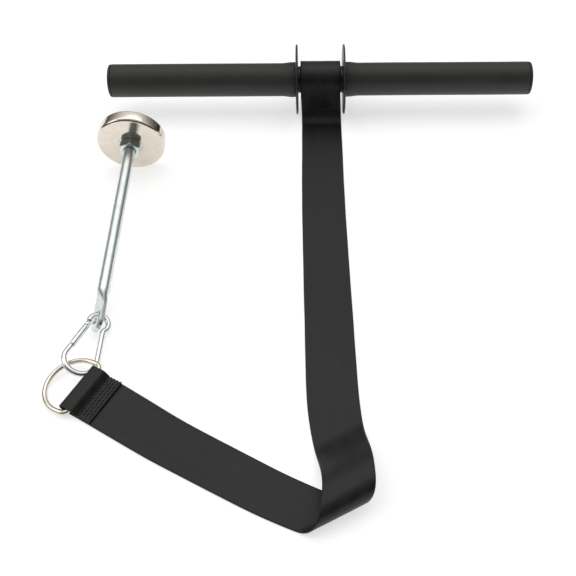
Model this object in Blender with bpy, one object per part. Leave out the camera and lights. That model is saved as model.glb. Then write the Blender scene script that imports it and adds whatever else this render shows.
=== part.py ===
"""Wrist roller with a loading pin, laid out on a table.

A grip bar with a winding drum between two flanges, a webbing strap that comes
off the front of the drum, lies along the table, turns a soft diagonal corner
and ends in a sewn loop with a D-ring. A snap hook joins the ring to the flat
eye of a steel rod, whose other end is screwed into a round base that carries
weight plates.

Units are metres, +Z is up and the table is z = 0. Places on the table are
measured from the point below the middle of the bar, with +X along the bar.
"""

from math import asin, atan2, ceil, cos, exp, pi, radians, sin, sqrt, tanh

import bmesh
import bpy
from mathutils import Matrix, Vector

MM = 0.001
GAP = 0.3 * MM                      # clearance between pieces that touch
SIDES = 40                          # facets round a turned piece
WIRE_SIDES = 10                     # facets round a bent wire
SMALL_SIDES = 16                    # facets round a rivet, a screw or the gate
THREAD_SIDES = 6                    # facets round a thread or a spring's wire
ROD_SIDES = 20
NUT_SIDES = 24
BASE_SIDES = 48

# The layout: the point of the table below the bar's middle, from the origin
BAR_PLACE = Vector((1.5 * MM, 214.4 * MM, 0.0))

# Bar, drum and grips
BAR_LENGTH = 405 * MM
TUBE_R = 12.5 * MM
TUBE_WALL = 1.5 * MM
FLANGE_R = 33 * MM
FLANGE_T = 2 * MM
FLANGE_X = 22.4 * MM                # from the bar's middle to a flange's centre plane
HUB_LENGTH = 7 * MM
HUB_R = 13.6 * MM
GRIP_R = 15.6 * MM
GRIP_FLARE = 0.9 * MM               # the foam rides up over the flange's hub
PLUG_HEAD = 2.6 * MM
PLUG_SPIGOT = 14 * MM
ANCHOR_R = 2.4 * MM
ANCHOR_HEAD_R = 4.2 * MM
ANCHOR_HEAD_T = 1.5 * MM

# Webbing
STRAP_W = 38 * MM
STRAP_T = 1.3 * MM
WRAP_IN_R = TUBE_R + GAP
WRAP_OUT_R = 15.9 * MM              # outside of the turns that turn with the bar
TURN_R = 16.85 * MM                 # middle of the outermost turn
TURN_START = radians(328)           # where that turn begins, back round from the front
DROP_BEND_R = 13.4 * MM             # bend from the drop onto the table
RUN_START = TURN_R + DROP_BEND_R    # straight run, in distance from the bar's axis
RUN_END = 375 * MM
FOLD_END = 480 * MM
TAIL_END = 637 * MM
LOOP_AXIS = 664 * MM                # distance along the strap to the middle of its end loop

# How the laid strap wanders: each amount with the stretch over which it comes in
DRIFT_START = 1 * MM
DRIFT = (3.6 * MM, 100 * MM, 420 * MM)
DRIFT_END = (4.0 * MM, 575 * MM, 675 * MM)
SWELL = (8.5 * MM, 434 * MM, 34.4 * MM)     # its height, place and half length
BANK = (0.08, 432 * MM, 30 * MM)            # narrowing of the banked strap at the corner
TAIL_RISE = (560 * MM, 655 * MM)            # where the tail lifts to the ring's bar

# The soft corner: a roll whose line runs at FOLD_ANGLE across the table
FOLD_ANGLE = radians(30.3)
FOLD_DISTANCE = 384.5 * MM
FOLD_R = 8.3 * MM
FOLD_R_CHANGE = 2.3 * MM            # the roll opens out towards the right
FOLD_R_SPAN = 41.5 * MM
FOLD_MIDDLE = -234 * MM
FOLD_RISE = (-50 * MM, -6 * MM)     # where the run lifts off the table, before the roll

# The sewn loop at the strap's end
RING_WIRE_R = 2 * MM
LOOP_R = RING_WIRE_R + 0.5 * MM + STRAP_T / 2
LOOP_HEIGHT = 6.35 * MM             # the D-ring's bar above the table, at its middle
LOOP_SLOPE = 0.121                  # its rise towards the upper edge of the strap
LOOP_SINK = (7.2 * MM, 13 * MM)     # where the flap comes down onto the strap
FLAP_LENGTH = 23 * MM
STITCH_R = 0.3 * MM
STITCH_ROWS = (14.2 * MM, 16.6 * MM, 19 * MM, 21.4 * MM)   # from the loop's middle

# D-ring
RING_HALF_W = 22.2 * MM
RING_CORNER = 5 * MM
RING_SIDE = 9 * MM
RING_DEPTH = 30.8 * MM
RING_SLOPE = -0.095                 # the bow lies lower than the bar
RING_INSET = 3.2 * MM               # the bar lies this far back in the loose loop
RING_SKEW = radians(4)              # and slightly askew in it
RING_SHIFT = 0.6 * MM               # and towards the strap's upper edge

# Snap hook
HOOK_WIRE_R = 2.25 * MM
HOOK_BIG_R = 12 * MM
HOOK_SMALL_R = 7.5 * MM
HOOK_SMALL_SIDE = 1 * MM            # the small bow sits towards the spine
HOOK_NECK_R = 3 * MM                # bend from the small bow into the spine
BOW_START = radians(188)            # where the small bow ends beside the gate
HOOK_LENGTH = 60.4 * MM
HOOK_LEAN = radians(10.5)           # of the spine and the gate from the middle line
HOOK_LEG = 33 * MM                  # the gate's leg, up from the big bow
HOOK_HEADING = radians(79)
HOOK_TILT = radians(26)             # its gate side lies on the D-ring
HOOK_APEX = Vector((-172.3 * MM, -279 * MM, 7.75 * MM))
GATE_START = 0.8 * MM               # from the top of the leg
GATE_END = 26.2 * MM
GATE_RIVET = 3.8 * MM
GATE_R = 2.35 * MM
GATE_SLOT = 2.0 * MM
TONGUE_T = 1.3 * MM
TONGUE_W = 3.2 * MM
RIVET_R = 0.7 * MM
SPRING_R = 0.28 * MM
SPRING_POINTS = 15
SPRING_PITCH = 0.6 * MM
SPRING_DEPTH = 0.55 * MM
SPRING_WAVE = 0.35 * MM
SPRING_STEP = 1.1

# Loading pin
ROD_R = 5 * MM
EYE_W = 16.5 * MM
EYE_T = 3.4 * MM
EYE_HOLE_R = 5.5 * MM
EYE_CHAMFER = 0.7 * MM
EYE_TIP = 11.6 * MM                 # from the hole's centre to the rod's end
EYE_REACH = 3 * MM                  # of the flat part beyond the hole
EYE_TAPER = 18 * MM
EYE_SQUARENESS = 0.84               # of the flattened end's section
EYE_ROLL = radians(38)              # the eye's face looks up and to the left
EYE_ON_BOW = radians(20)            # its place on the small bow, from the top
EYE_OFFSET = 2.4 * MM               # the hook's wire lies towards the rod in the hole
PIN_LENGTH = 187.2 * MM             # from the eye's hole to the base's upper face
PIN_HEADING = radians(88.9)
NUT_ACROSS = 17 * MM
NUT_H = 8 * MM
BASE_R = 30 * MM
BASE_T = 12 * MM
BASE_EDGE = 3 * MM
BASE_SEAT_R = 11 * MM               # the plates rest outside this, clear of the nut
BASE_SPOT_D = 0.3 * MM              # the nut's seat lies this much lower
BASE_RECESS_R = 22 * MM
BASE_RECESS_D = 1.5 * MM
THREAD_IN = 9 * MM                  # how far the rod goes into the base

COLOURS = {                         # base colour, metallic, roughness
    "foam": ((0.035, 0.034, 0.033), 0.0, 0.75),
    "webbing": ((0.018, 0.018, 0.018), 0.0, 0.8),
    "black_steel": ((0.03, 0.03, 0.032), 0.4, 0.45),
    "black_plastic": ((0.02, 0.02, 0.02), 0.0, 0.5),
    "zinc": ((0.72, 0.76, 0.75), 1.0, 0.28),
    "nickel": ((0.78, 0.72, 0.64), 1.0, 0.18),
    "thread": ((0.012, 0.012, 0.012), 0.0, 0.7),
}


# ---------------------------------------------------------------- helpers

def smooth(low, high, value):
    """0 below low, 1 above high, and an even curve between."""
    x = min(1.0, max(0.0, (value - low) / (high - low)))
    return x * x * (3 - 2 * x)


def clear_scene():
    for obj in list(bpy.data.objects):
        bpy.data.objects.remove(obj, do_unlink=True)


def material(name):
    mat = bpy.data.materials.get(name) or bpy.data.materials.new(name)
    colour, metallic, roughness = COLOURS[name]
    mat.use_nodes = True
    shader = mat.node_tree.nodes["Principled BSDF"]
    shader.inputs["Base Color"].default_value = (*colour, 1.0)
    shader.inputs["Metallic"].default_value = metallic
    shader.inputs["Roughness"].default_value = roughness
    return mat


def frame_matrix(origin, x_axis, z_axis):
    """A place whose local X is x_axis and whose local Z is nearest to z_axis."""
    x = x_axis.normalized()
    y = z_axis.cross(x).normalized()
    z = x.cross(y)
    turn = Matrix((x, y, z)).transposed().to_4x4()
    return Matrix.Translation(origin) @ turn


def empty(name, matrix, parent=None):
    obj = bpy.data.objects.new(name, None)
    bpy.context.collection.objects.link(obj)
    obj.parent = parent
    bpy.context.view_layer.update()
    obj.matrix_world = matrix
    bpy.context.view_layer.update()
    return obj


def finish_mesh(bm, name, mat, parent, smooth_angle=35):
    """Close off a bmesh as the node's object. Its points are local to parent."""
    bm.normal_update()
    bmesh.ops.recalc_face_normals(bm, faces=bm.faces)
    mesh = bpy.data.meshes.new(name)
    bm.to_mesh(mesh)
    bm.free()
    mesh.shade_smooth()
    mesh.set_sharp_from_angle(angle=radians(smooth_angle))
    mesh.materials.append(material(mat))
    obj = bpy.data.objects.new(name, mesh)
    bpy.context.collection.objects.link(obj)
    obj.parent = parent
    bpy.context.view_layer.update()
    return obj


def loft(rings, closed=False):
    """Skin a list of rings of points, each ring closed, with flat caps at the ends."""
    bm = bmesh.new()
    loops = [[bm.verts.new(p) for p in ring] for ring in rings]
    pairs = list(zip(loops, loops[1:]))
    if closed:
        pairs.append((loops[-1], loops[0]))
    for a, b in pairs:
        for i in range(len(a)):
            j = (i + 1) % len(a)
            bm.faces.new((a[i], a[j], b[j], b[i]))
    if not closed:
        bm.faces.new(loops[0][::-1])
        bm.faces.new(loops[-1])
    return bm


def turned(profile, sides=SIDES):
    """Turn a profile of (x, radius) points, closed on itself, about local X."""
    rings = []
    for i in range(sides):
        a = 2 * pi * i / sides
        rings.append([Vector((x, r * cos(a), r * sin(a))) for x, r in profile])
    return loft(rings, closed=True)


def turned_solid(profile, sides=SIDES):
    """Turn an open profile about local X and cap its two ends with flat faces."""
    rings = []
    for x, r in profile:
        angles = [2 * pi * i / sides for i in range(sides)]
        rings.append([Vector((x, r * cos(a), r * sin(a))) for a in angles])
    return loft(rings)


def arc(centre_x, centre_r, radius, start, end, steps):
    """Points (x, radius) along an arc in a turned profile, angles in degrees."""
    points = []
    for i in range(steps + 1):
        a = radians(start + (end - start) * i / steps)
        points.append((centre_x + radius * cos(a), centre_r + radius * sin(a)))
    return points


def wire(points, radius, closed=False, sides=WIRE_SIDES):
    """A round wire along points, turned as little as possible on the way."""
    count = len(points)
    tangents = []
    for i in range(count):
        before = points[i - 1] if (i or closed) else points[0]
        after = points[(i + 1) % count] if (i < count - 1 or closed) else points[-1]
        tangents.append((after - before).normalized())
    side = tangents[0].orthogonal().normalized()
    rings = []
    for point, tangent in zip(points, tangents):
        side = (side - tangent * side.dot(tangent)).normalized()
        up = tangent.cross(side)
        angles = [2 * pi * k / sides for k in range(sides)]
        rings.append([point + radius * (cos(a) * side + sin(a) * up) for a in angles])
    return loft(rings, closed)


def box(bm, centre, size, turn=None):
    """A box added to bm, its sides along the columns of turn."""
    place = Matrix.Translation(centre)
    if turn is not None:
        place = place @ turn.to_4x4()
    bmesh.ops.create_cube(bm, size=1.0, matrix=place @ Matrix.Diagonal((*size, 1.0)))
    return bm


def boolean(obj, bm, operation):
    """Join or cut obj with the solid in bm, given in obj's local points."""
    bm.normal_update()
    bmesh.ops.recalc_face_normals(bm, faces=bm.faces)
    mesh = bpy.data.meshes.new("tool")
    bm.to_mesh(mesh)
    bm.free()
    tool = bpy.data.objects.new("tool", mesh)
    bpy.context.collection.objects.link(tool)
    tool.matrix_world = obj.matrix_world
    bpy.context.view_layer.update()
    modifier = obj.modifiers.new("boolean", "BOOLEAN")
    modifier.operation = operation
    modifier.solver = "EXACT"
    modifier.object = tool
    depsgraph = bpy.context.evaluated_depsgraph_get()
    result = bpy.data.meshes.new_from_object(obj.evaluated_get(depsgraph))
    obj.modifiers.clear()
    result.shade_smooth()
    result.set_sharp_from_angle(angle=radians(35))
    obj.data = result
    bpy.data.objects.remove(tool, do_unlink=True)
    bpy.context.view_layer.update()


# ---------------------------------------------------------------- the bar

def make_bar(frame):
    half = BAR_LENGTH / 2
    tube_end = half - PLUG_HEAD - GAP
    bore = TUBE_R - TUBE_WALL
    tube = turned([(-tube_end, bore), (tube_end, bore), (tube_end, TUBE_R), (-tube_end, TUBE_R)])
    tube = finish_mesh(tube, "core_tube", "black_steel", frame)
    boolean(tube, anchor_shank(ANCHOR_R + GAP), "DIFFERENCE")
    for side, name in ((-1, "left"), (1, "right")):
        make_flange(frame, side, name)
        make_grip(frame, side, name, half)
        make_plug(frame, side, name, half)
    make_anchor(frame)
    make_inner_turns(frame)


def make_flange(frame, side, name):
    """A pressed disc with a rounded rim and a short neck under the foam."""
    bore = TUBE_R + GAP
    inner = FLANGE_X - FLANGE_T / 2
    outer = FLANGE_X + FLANGE_T / 2
    neck_end = outer + HUB_LENGTH
    rim = arc(FLANGE_X, FLANGE_R - FLANGE_T / 2, FLANGE_T / 2, 180, 0, 4)
    profile = [(inner, bore), *rim, (outer, HUB_R), (neck_end, HUB_R), (neck_end, bore)]
    profile = [(side * x, r) for x, r in profile]
    finish_mesh(turned(profile), f"{name}_flange", "black_steel", frame)


def make_grip(frame, side, name, half):
    """A foam sleeve, wider over the flange's neck and relieved at both ends."""
    start = FLANGE_X + FLANGE_T / 2 + GAP
    neck = FLANGE_X + FLANGE_T / 2 + HUB_LENGTH + 2 * GAP
    end = half - PLUG_HEAD - GAP
    lip = 0.7 * MM
    bore = TUBE_R + GAP
    wide = GRIP_R + GRIP_FLARE
    profile = [
        (start, HUB_R + GAP), (start, wide - lip), (start + lip, wide),
        (start + 0.35 * HUB_LENGTH, wide), (neck + 1.5 * MM, GRIP_R + 0.25 * GRIP_FLARE),
        (neck + 6 * MM, GRIP_R), (end - lip, GRIP_R), (end, GRIP_R - lip),
        (end, bore), (neck, bore), (neck, HUB_R + GAP),
    ]
    finish_mesh(turned([(side * x, r) for x, r in profile]), f"{name}_grip", "foam", frame)


def make_plug(frame, side, name, half):
    """The end cap: a shallow domed head on a spigot inside the tube."""
    spigot = TUBE_R - TUBE_WALL - GAP
    seat = half - PLUG_HEAD
    profile = [
        (seat - PLUG_SPIGOT, spigot - 0.8 * MM), (seat - PLUG_SPIGOT + 0.8 * MM, spigot),
        (seat, spigot), (seat, GRIP_R - 0.2 * MM), (half - 1.6 * MM, GRIP_R - 0.2 * MM),
        (half - 0.7 * MM, GRIP_R - 0.6 * MM), (half - 0.2 * MM, GRIP_R - 1.8 * MM),
        (half, 5 * MM),
    ]
    bm = turned_solid([(side * x, r) for x, r in profile])
    finish_mesh(bm, f"{name}_end_plug", "black_plastic", frame)


def anchor_shank(radius):
    """The hole or shank through the tube's wall, under the first turn of strap."""
    profile = [(TUBE_R - TUBE_WALL - 1.5 * MM, radius), (TUBE_R + 1.5 * MM, radius)]
    bm = turned_solid(profile, sides=SMALL_SIDES)
    bm.transform(Matrix.Rotation(pi / 2, 4, "Y"))
    return bm


def make_anchor(frame):
    """The screw that holds the strap's hidden end to the tube, head below."""
    head = TUBE_R + GAP
    profile = [
        (TUBE_R - TUBE_WALL - 3 * MM, ANCHOR_R - 0.5 * MM),
        (TUBE_R - TUBE_WALL - 2 * MM, ANCHOR_R), (head, ANCHOR_R), (head, ANCHOR_HEAD_R),
        (head + 0.6 * ANCHOR_HEAD_T, ANCHOR_HEAD_R), (head + ANCHOR_HEAD_T, 0.6 * ANCHOR_HEAD_R),
    ]
    bm = turned_solid(profile, sides=SMALL_SIDES)
    bm.transform(Matrix.Rotation(pi / 2, 4, "Y"))
    finish_mesh(bm, "strap_anchor_screw", "zinc", frame)


def make_inner_turns(frame):
    """The turns next to the tube, open below round the anchor screw's head."""
    open_half = radians(24)
    steps = 34
    rings = []
    for i in range(steps + 1):
        a = -pi / 2 + open_half + (2 * pi - 2 * open_half) * i / steps
        out = Vector((0, cos(a), sin(a)))
        rings.append([
            WRAP_IN_R * out + Vector((-STRAP_W / 2, 0, 0)),
            WRAP_OUT_R * out + Vector((-STRAP_W / 2, 0, 0)),
            WRAP_OUT_R * out + Vector((STRAP_W / 2, 0, 0)),
            WRAP_IN_R * out + Vector((STRAP_W / 2, 0, 0)),
        ])
    finish_mesh(loft(rings), "strap_inner_turns", "webbing", frame)


# ---------------------------------------------------------------- the strap

def hump(shape, u):
    """A smooth hump along the strap, from its height, place and half length."""
    height, place, half_length = shape
    return height * exp(-0.5 * ((u - place) / half_length) ** 2)


def strap_middle(u):
    """Sideways place of the strap's middle line, u along it from the bar, unfolded."""
    drift = DRIFT_START
    for amount, start, end in (DRIFT, DRIFT_END):
        drift += amount * smooth(start, end, u)
    return drift + hump(SWELL, u)


def strap_point(u, t, w):
    """A point of the laid strap: u along it, t across it and w out of its upper face."""
    step = 0.5 * MM
    slope = (strap_middle(u + step) - strap_middle(u - step)) / (2 * step)
    heading = Vector((slope, -1.0)).normalized()
    t *= 1 - hump(BANK, u)
    flat = Vector((strap_middle(u), -u)) + t * Vector((-heading.y, heading.x))
    normal = Vector((sin(FOLD_ANGLE), -cos(FOLD_ANGLE)))
    along = Vector((cos(FOLD_ANGLE), sin(FOLD_ANGLE)))
    place = flat.dot(along)
    roll = FOLD_R + FOLD_R_CHANGE * tanh((place - FOLD_MIDDLE) / FOLD_R_SPAN)
    past = flat.dot(normal) - FOLD_DISTANCE
    if past <= 0:
        across = FOLD_DISTANCE + past
        z = 2 * roll * smooth(*FOLD_RISE, past) + w
    elif past < pi * roll:
        across = FOLD_DISTANCE + (roll + w) * sin(past / roll)
        z = roll + (roll + w) * cos(past / roll)
    else:
        across = FOLD_DISTANCE - (past - pi * roll)
        end_height = LOOP_HEIGHT - LOOP_R - STRAP_T / 2 + LOOP_SLOPE * t
        z = smooth(*TAIL_RISE, u) * end_height - w
    xy = across * normal + place * along
    return BAR_PLACE + Vector((xy.x, xy.y, z + STRAP_T / 2))


def strap_strip(point, stations, columns):
    """A strip of webbing as a closed solid, from point(station, t, w)."""
    half_w, half_t = STRAP_W / 2, STRAP_T / 2
    across = [-half_w + STRAP_W * i / columns for i in range(columns + 1)]
    rings = []
    for s in stations:
        upper = [point(s, t, half_t) for t in across]
        lower = [point(s, t, -half_t) for t in reversed(across)]
        rings.append(upper + lower)
    bm = loft(rings)
    bmesh.ops.connect_verts_concave(bm, faces=[f for f in bm.faces if len(f.verts) > 4])
    return bm


def stations(start, end, step):
    count = max(1, ceil((end - start) / step))
    return [start + (end - start) * i / count for i in range(count + 1)]


def turn_point(s, t, w):
    """The outermost turn and the drop to the table, s back along it from the run."""
    bend = DROP_BEND_R * pi / 2
    drop = FLANGE_R - DROP_BEND_R - STRAP_T / 2
    if s < bend:
        a = s / DROP_BEND_R
        y = -RUN_START + (DROP_BEND_R - w) * sin(a)
        z = STRAP_T / 2 + DROP_BEND_R - (DROP_BEND_R - w) * cos(a)
    elif s < bend + drop:
        y = -TURN_R - w
        z = STRAP_T / 2 + DROP_BEND_R + (s - bend)
    else:
        a = (s - bend - drop) / TURN_R
        y = -(TURN_R + w) * cos(a)
        z = FLANGE_R + (TURN_R + w) * sin(a)
    side = strap_middle(RUN_START) * (1 - smooth(0, bend + drop, s))
    return BAR_PLACE + Vector((side + t, y, z))


def loop_frame():
    """The D-ring's bar: its middle, the strap's way, the bar's way and up."""
    low = strap_point(LOOP_AXIS, -STRAP_W / 2, 0)
    high = strap_point(LOOP_AXIS, STRAP_W / 2, 0)
    bar = (high - low).normalized()
    back = strap_point(LOOP_AXIS - 2 * MM, 0, 0)
    way = strap_point(LOOP_AXIS, 0, 0) - back
    way = (way - bar * way.dot(bar)).normalized()
    up = way.cross(bar)
    if up.z < 0:
        up = -up
    return (low + high) / 2 + LOOP_R * up, way, bar, up


def loop_point(s, t, w):
    """The loop round the ring's bar and the flap, s along it from the bar's axis."""
    middle, way, bar, up = loop_frame()
    turn = pi * LOOP_R
    if s < turn:
        a = s / LOOP_R
        return middle + t * bar + (LOOP_R - w) * (sin(a) * way - cos(a) * up)
    back = s - turn
    sink = (2 * LOOP_R - STRAP_T - GAP) * smooth(*LOOP_SINK, back)
    return middle + t * bar - back * way + (LOOP_R - w - sink) * up


def make_strap(frame):
    """The webbing that lies on the table, from the run to the sewn loop."""
    def strip(name, point, steps, columns):
        finish_mesh(strap_strip(point, steps, columns), name, "webbing", frame, 60)

    strip("strap_run", strap_point, stations(RUN_START + GAP, RUN_END, 24 * MM), 4)
    strip("strap_corner", strap_point, stations(RUN_END + GAP, FOLD_END, 2.6 * MM), 12)
    strip("strap_tail", strap_point, stations(FOLD_END + GAP, TAIL_END, 14 * MM), 4)
    make_loop(frame)
    make_stitching(frame)


def make_loop(frame):
    """The strap's end: under the ring's bar, round it, and back on top as a flap."""
    def point(s, t, w):
        if s < 0:
            return strap_point(LOOP_AXIS + s, t, w)
        return loop_point(s, t, -w)

    turn = pi * LOOP_R
    lead = stations(TAIL_END + GAP - LOOP_AXIS, -0.2 * MM, 5 * MM)
    bow = stations(0.2 * MM, turn, 1 * MM)
    flap = stations(turn + 1 * MM, turn + FLAP_LENGTH, 2 * MM)
    finish_mesh(strap_strip(point, lead + bow + flap, 2), "strap_end_loop", "webbing", frame, 60)


def make_stitching(frame):
    """One thread laid back and forth across the flap."""
    reach = STRAP_W / 2 - 2.2 * MM
    lift = STRAP_T / 2 + STITCH_R + 0.1 * MM
    points = []
    for i, row in enumerate(STITCH_ROWS):
        sides = (-reach, 0, reach) if i % 2 == 0 else (reach, 0, -reach)
        points += [loop_point(pi * LOOP_R + row, t, -lift) for t in sides]
    finish_mesh(wire(points, STITCH_R, sides=THREAD_SIDES), "strap_stitching", "thread", frame)


def make_outer_turn(frame):
    drop = FLANGE_R - DROP_BEND_R - STRAP_T / 2
    end = DROP_BEND_R * pi / 2 + drop + TURN_R * TURN_START
    bm = strap_strip(turn_point, stations(0, end, 2.6 * MM), 2)
    finish_mesh(bm, "strap_outer_turn", "webbing", frame, 60)


# ---------------------------------------------------------------- the D-ring

def ring_path():
    """Middle line of the D, in the ring's local XY: X along its bar, Y to the bow."""
    w, c = RING_HALF_W, RING_CORNER
    points = [Vector((x, 0, 0)) for x in (-(w - c), -(w - c) / 2, 0, (w - c) / 2)]
    for i in range(5):
        a = radians(-90 + 90 * i / 4)
        points.append(Vector((w - c + c * cos(a), c + c * sin(a), 0)))
    rise = RING_DEPTH - RING_SIDE
    for i in range(25):
        a = pi * i / 24
        points.append(Vector((w * cos(a), RING_SIDE + rise * sin(a), 0)))
    for i in range(4):
        a = radians(180 + 90 * i / 4)
        points.append(Vector((-(w - c) + c * cos(a), c + c * sin(a), 0)))
    return points


def ring_matrix():
    """Local X runs along the D's bar, up the strap's end edge, and Y out to the bow."""
    middle, way, bar, _ = loop_frame()
    bow = (way + RING_SLOPE * Vector((0, 0, 1))).normalized()
    bow = (bow - bar * bow.dot(bar)).normalized()
    place = frame_matrix(middle - RING_INSET * way + RING_SHIFT * bar, bar, bar.cross(bow))
    return place @ Matrix.Rotation(RING_SKEW, 4, "Z")


def make_ring(frame):
    finish_mesh(wire(ring_path(), RING_WIRE_R, closed=True), "d_ring", "nickel", frame)


# ---------------------------------------------------------------- the snap hook

def hook_matrix():
    """Local Y runs from the big bow to the small one, X to the spine, Z out of its plane."""
    along = Vector((cos(HOOK_HEADING), sin(HOOK_HEADING), 0))
    right = Vector((along.y, -along.x, 0))
    side = right * cos(HOOK_TILT) - Vector((0, 0, 1)) * sin(HOOK_TILT)
    return frame_matrix(BAR_PLACE + HOOK_APEX, side, side.cross(along))


def hook_points():
    """The small and big bows' centres and the ends of the gate's leg, from the top."""
    small = Vector((HOOK_SMALL_SIDE, -HOOK_SMALL_R, 0))
    big = Vector((0, HOOK_BIG_R + 2 * HOOK_WIRE_R - HOOK_LENGTH, 0))
    bottom = big + HOOK_BIG_R * Vector((-cos(HOOK_LEAN), sin(HOOK_LEAN), 0))
    top = bottom + HOOK_LEG * Vector((sin(HOOK_LEAN), cos(HOOK_LEAN), 0))
    return small, big, top, bottom


def neck_centre(small, big):
    """The bend between the small bow and the spine curves about this point."""
    out = Vector((cos(HOOK_LEAN), sin(HOOK_LEAN), 0))
    up = Vector((-out.y, out.x, 0))
    start = big + (HOOK_BIG_R + HOOK_NECK_R) * out
    reach = HOOK_SMALL_R + HOOK_NECK_R
    along = (small - start).dot(up)
    off_square = (small - start).length_squared - along * along
    return start + (along - sqrt(reach * reach - off_square)) * up


def bend(centre, radius, start, end, steps):
    """Points on an arc in the hook's plane."""
    angles = [start + (end - start) * i / steps for i in range(steps + 1)]
    return [centre + radius * Vector((cos(a), sin(a), 0)) for a in angles]


def leg_place(distance):
    """A place on the gate's leg: its point, and the leg's way towards the big bow."""
    _, _, top, bottom = hook_points()
    way = (bottom - top).normalized()
    return top + distance * way, way


def leg_turn():
    """Columns: along the leg, across it in the hook's plane, and out of the plane."""
    _, way = leg_place(0)
    return Matrix((way, Vector((0, 0, 1)).cross(way), Vector((0, 0, 1)))).transposed()


def make_hook(frame):
    """One bent wire, with a flat tongue at each end for the gate's forks."""
    small, big = hook_points()[:2]
    neck = neck_centre(small, big)
    meet = atan2(neck.y - small.y, neck.x - small.x)
    points = bend(small, HOOK_SMALL_R, BOW_START, meet, 16)
    points += bend(neck, HOOK_NECK_R, meet + pi, HOOK_LEAN + pi, 4)[1:]
    points += bend(big, HOOK_BIG_R, HOOK_LEAN, -pi - HOOK_LEAN, 20)
    points.append(leg_place(GATE_END + 0.8 * MM)[0])
    body = finish_mesh(wire(points, HOOK_WIRE_R), "hook_body", "zinc", frame)
    hinge_tongue = (GATE_START - 3 * MM, GATE_RIVET + 2 * MM)
    nose_tongue = (GATE_END - 3.6 * MM, GATE_END + 3 * MM)
    for start, end in (hinge_tongue, nose_tongue):
        middle, _ = leg_place((start + end) / 2)
        size = (end - start, TONGUE_W, TONGUE_T)
        boolean(body, box(bmesh.new(), middle, size, leg_turn()), "UNION")
    boolean(body, rivet_solid(RIVET_R + GAP, 2 * TONGUE_T), "DIFFERENCE")


def rivet_solid(radius, length):
    """A straight pin through the leg at the gate's pivot, along the plane's normal."""
    centre, _ = leg_place(GATE_RIVET)
    bm = turned_solid([(-length / 2, radius), (length / 2, radius)], sides=SMALL_SIDES)
    bm.transform(Matrix.Translation(centre) @ Matrix.Rotation(-pi / 2, 4, "Y"))
    return bm


def make_gate(frame, hook_frame):
    """A round bar forked at both ends, with a groove along its inner side."""
    to_gate = frame.matrix_world.inverted() @ hook_frame.matrix_world
    start, _ = leg_place(GATE_START)
    end, _ = leg_place(GATE_END)
    middle = (start + end) / 2
    length = (end - start).length
    turn = leg_turn()
    r, round_off = GATE_R, 0.6 * MM
    profile = [(-length / 2, r - round_off), (-length / 2 + round_off, r),
               (length / 2 - round_off, r), (length / 2, r - round_off)]
    bm = turned_solid(profile, sides=SMALL_SIDES)
    place = to_gate @ Matrix.Translation(middle) @ turn.to_4x4()
    bm.transform(place)
    gate = finish_mesh(bm, "hook_gate", "zinc", frame)

    def cut(centre_along, across, size):
        cutter = box(bmesh.new(), Vector((centre_along, across, 0)), size)
        cutter.transform(place)
        boolean(gate, cutter, "DIFFERENCE")

    fork = 7 * MM
    reach = 4 * r
    fork_size = (fork + 2 * MM, reach, GATE_SLOT + 0.1 * MM)
    cut(-length / 2 + fork / 2 - 1 * MM, 0, fork_size)
    cut(length / 2 - fork / 2 + 1 * MM, 0, fork_size)
    cut(0, -0.35 * MM + reach / 2, (length - fork, reach, GATE_SLOT))
    hole = rivet_solid(RIVET_R + GAP, 4 * r)
    hole.transform(to_gate)
    boolean(gate, hole, "DIFFERENCE")
    make_rivet(frame, to_gate)
    make_spring(frame, place, length)


def make_rivet(frame, to_gate):
    """The gate's rivet, with a low head on each side."""
    centre, _ = leg_place(GATE_RIVET)
    flat = GATE_R + 0.1 * MM
    head = 1.5 * MM
    half = [(flat, RIVET_R), (flat, head), (flat + 0.25 * MM, head), (flat + 0.6 * MM, 0.9 * MM)]
    profile = [(-x, r) for x, r in reversed(half)] + half
    bm = turned_solid(profile, sides=SMALL_SIDES)
    bm.transform(to_gate @ Matrix.Translation(centre) @ Matrix.Rotation(-pi / 2, 4, "Y"))
    finish_mesh(bm, "gate_rivet", "zinc", frame)


def make_spring(frame, place, length):
    """The bent spring wire that lies in the gate's groove."""
    start = -length / 2 + 8.2 * MM
    points = []
    for i in range(SPRING_POINTS):
        across = SPRING_DEPTH + SPRING_WAVE * sin(SPRING_STEP * i)
        points.append(Vector((start + SPRING_PITCH * i, across, 0)))
    bm = wire(points, SPRING_R, sides=THREAD_SIDES)
    bm.transform(place)
    finish_mesh(bm, "gate_spring", "zinc", frame)


# ---------------------------------------------------------------- the loading pin

def eye_on_bow():
    """The point of the hook's wire that the pin hangs on."""
    small = hook_points()[0]
    out = Vector((-sin(EYE_ON_BOW), cos(EYE_ON_BOW), 0))
    return hook_matrix() @ (small + HOOK_SMALL_R * out)


def pin_rise():
    """The rod's slope when its base stands on its rim and its eye hangs on the hook."""
    slope = 0.1
    for _ in range(20):
        low = eye_on_bow().z - EYE_OFFSET * sin(slope)
        slope = asin((BASE_R * cos(slope) - low) / PIN_LENGTH)
    return slope


def pin_matrix():
    """Local X runs from the eye to the base; local Z is the normal of the eye's face."""
    rise = pin_rise()
    plan = Vector((cos(PIN_HEADING), sin(PIN_HEADING), 0))
    along = plan * cos(rise) + Vector((0, 0, 1)) * sin(rise)
    left = Vector((-plan.y, plan.x, 0))
    face = left * cos(EYE_ROLL) + Vector((0, 0, 1)) * sin(EYE_ROLL)
    return frame_matrix(eye_on_bow() - EYE_OFFSET * along, along, face)


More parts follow.
